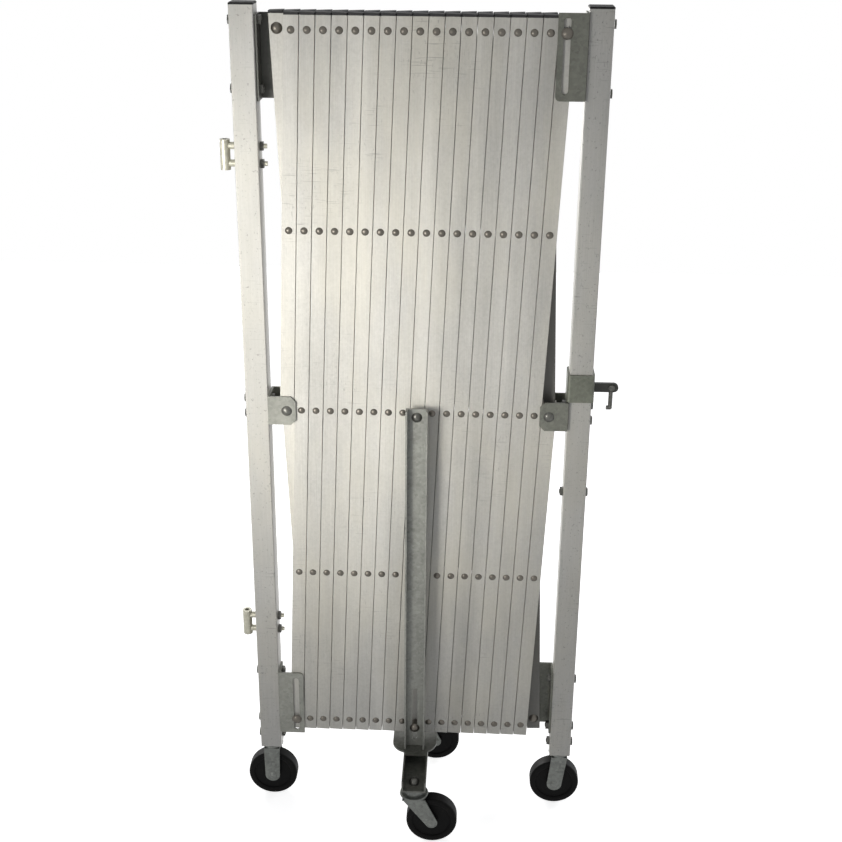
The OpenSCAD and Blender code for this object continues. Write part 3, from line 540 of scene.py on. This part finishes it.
def floor_paint():
    """White floor that keeps the object's shadow near it and fades into the white background."""
    paint = bpy.data.materials.new("floor_paint")
    paint.use_nodes = True
    tree = paint.node_tree
    shader = tree.nodes["Principled BSDF"]
    shader.inputs["Base Color"].default_value = (FLOOR_GREY, FLOOR_GREY, FLOOR_GREY, 1)
    shader.inputs["Roughness"].default_value = FLOOR_ROUGH
    shader.inputs["Specular IOR Level"].default_value = FLOOR_SPECULAR
    glow = tree.nodes.new("ShaderNodeEmission")
    glow.inputs["Color"].default_value = (1, 1, 1, 1)
    distance = tree.nodes.new("ShaderNodeVectorMath")
    distance.operation = "LENGTH"
    tree.links.new(stretched(tree), distance.inputs[0])
    fade = spread(tree, distance.outputs["Value"], FADE_EDGES, FADE_GLOW)
    tree.links.new(number(tree, "MULTIPLY", fade, background_rays(tree)), glow.inputs["Strength"])
    both = tree.nodes.new("ShaderNodeAddShader")
    tree.links.new(shader.outputs[0], both.inputs[0])
    tree.links.new(glow.outputs[0], both.inputs[1])
    tree.links.new(both.outputs[0], tree.nodes["Material Output"].inputs["Surface"])
    return paint


def white_floor():
    """The floor, just under the wheels."""
    bpy.ops.mesh.primitive_plane_add(size=FLOOR_WIDTH, location=(0, 0, 0))
    floor = bpy.context.active_object
    floor.name = "floor"
    for vertex in floor.data.vertices:
        vertex.co.z = -FLOOR_DROP
    floor.data.materials.append(floor_paint())


def soft_world():
    """White background, with a low, soft light on the object."""
    world = bpy.data.worlds.new("studio")
    bpy.context.scene.world = world
    world.use_nodes = True
    tree = world.node_tree
    tree.nodes.clear()
    out = tree.nodes.new("ShaderNodeOutputWorld")
    seen = tree.nodes.new("ShaderNodeBackground")
    seen.inputs["Color"].default_value = (1, 1, 1, 1)
    seen.inputs["Strength"].default_value = 1.0
    soft = tree.nodes.new("ShaderNodeBackground")
    soft.inputs["Color"].default_value = (*SOFT_TINT, 1)
    soft.inputs["Strength"].default_value = SOFT_STRENGTH
    mix = tree.nodes.new("ShaderNodeMixShader")
    tree.links.new(background_rays(tree), mix.inputs["Fac"])
    tree.links.new(soft.outputs[0], mix.inputs[1])
    tree.links.new(seen.outputs[0], mix.inputs[2])
    tree.links.new(mix.outputs[0], out.inputs["Surface"])


def soft_box(name, place, aim, width, power, tint, spread_angle):
    """A square lamp that the camera doesn't see."""
    lamp = bpy.data.lights.new(name, "AREA")
    lamp.shape = "SQUARE"
    lamp.size = width
    lamp.energy = power
    lamp.spread = math.radians(spread_angle)
    lamp.color = tint
    holder = bpy.data.objects.new(name, lamp)
    bpy.context.collection.objects.link(holder)
    holder.location = place
    holder.visible_camera = False
    holder.rotation_euler = (Vector(aim) - Vector(place)).to_track_quat("-Z", "Y").to_euler()


def photo_camera():
    """The photograph's camera: a standing person's view, a little from the right."""
    camera = bpy.data.cameras.new("photo_camera")
    camera.sensor_width = SENSOR_WIDTH
    camera.lens = FOCAL_PIXELS / PHOTO_PIXELS * SENSOR_WIDTH
    holder = bpy.data.objects.new("photo_camera", camera)
    bpy.context.collection.objects.link(holder)
    x, y, z = CAMERA_FROM_PIVOT
    place = Matrix.Translation((GATE_MIDDLE_X + x, SLAT_FACE_Y + y, MIDDLE_ROW_Z + z))
    turn = Matrix.Rotation(math.radians(CAMERA_TURN), 4, "Z")
    tilt = Matrix.Rotation(math.radians(90 - CAMERA_DOWN), 4, "X")
    roll = Matrix.Rotation(math.radians(CAMERA_ROLL), 4, "Z")
    holder.matrix_world = place @ turn @ tilt @ roll
    bpy.context.scene.camera = holder


white_floor()
soft_world()
for lamp_settings in LAMPS:
    soft_box(*lamp_settings)
photo_camera()
bpy.context.scene.view_settings.view_transform = "Standard"
